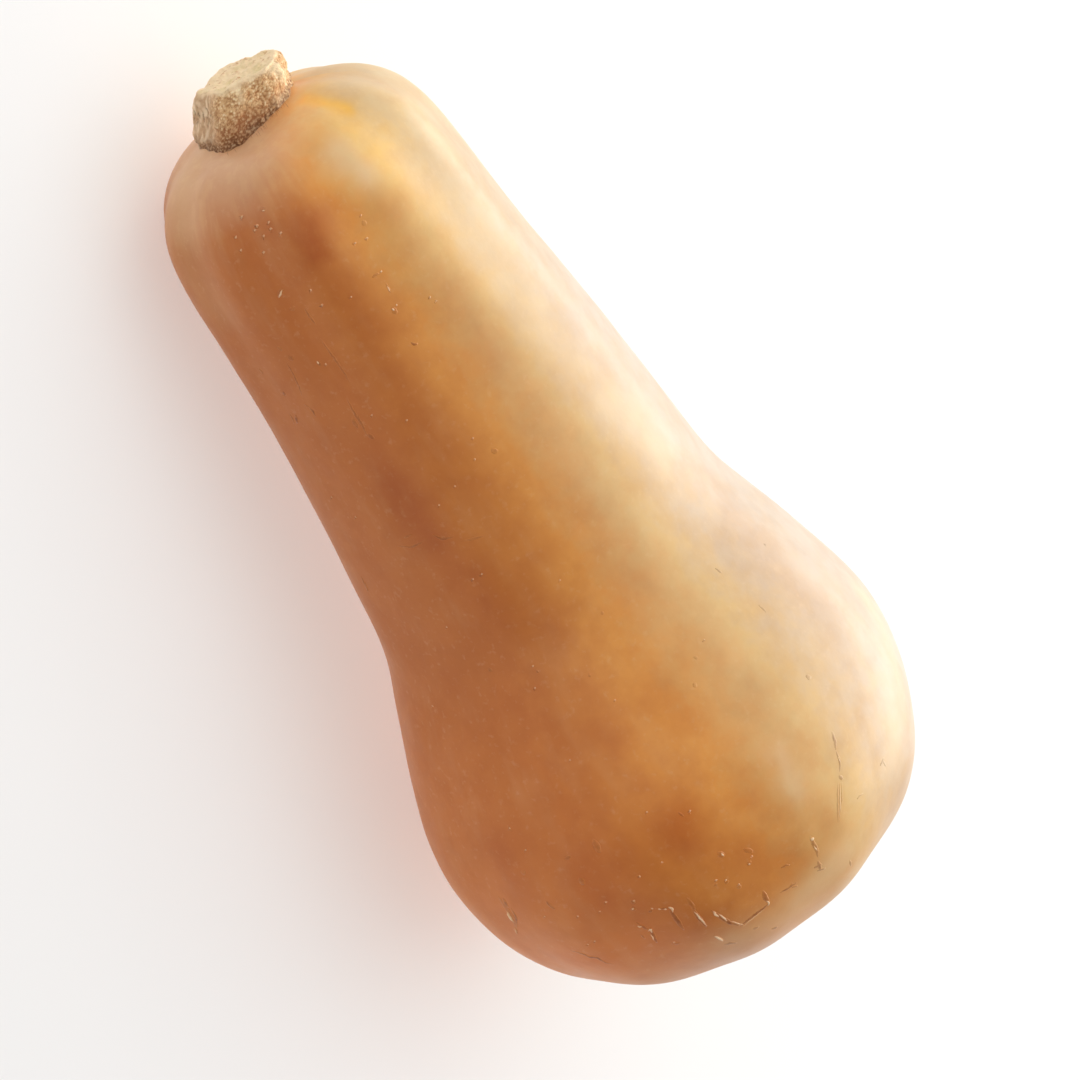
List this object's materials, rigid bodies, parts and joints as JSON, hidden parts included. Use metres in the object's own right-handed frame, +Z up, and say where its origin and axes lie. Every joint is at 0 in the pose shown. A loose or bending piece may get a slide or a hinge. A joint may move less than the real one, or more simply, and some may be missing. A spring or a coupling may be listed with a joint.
{
  "type": "butternut squash",
  "caption": "Whole butternut squash lying on its side: long thick neck, round bulb with shallow ribs, and a corky cornered stem stump with a slanted cut.",
  "frame": {"origin": "middle of the footprint of the lying squash, on the surface it rests on", "axes": "+X towards the blossom end (the bulb), -X towards the stem, +Z up"},
  "size_m": [0.2484, 0.1232, 0.1207],
  "materials": {
    "skin": "smooth waxy squash rind, tan to orange, satin",
    "cork": "dry granular cork, matt"
  },
  "bodies": {
    "root": {"squash_body": "skin", "squash_stem": "cork"}
  },
  "joints": []
}
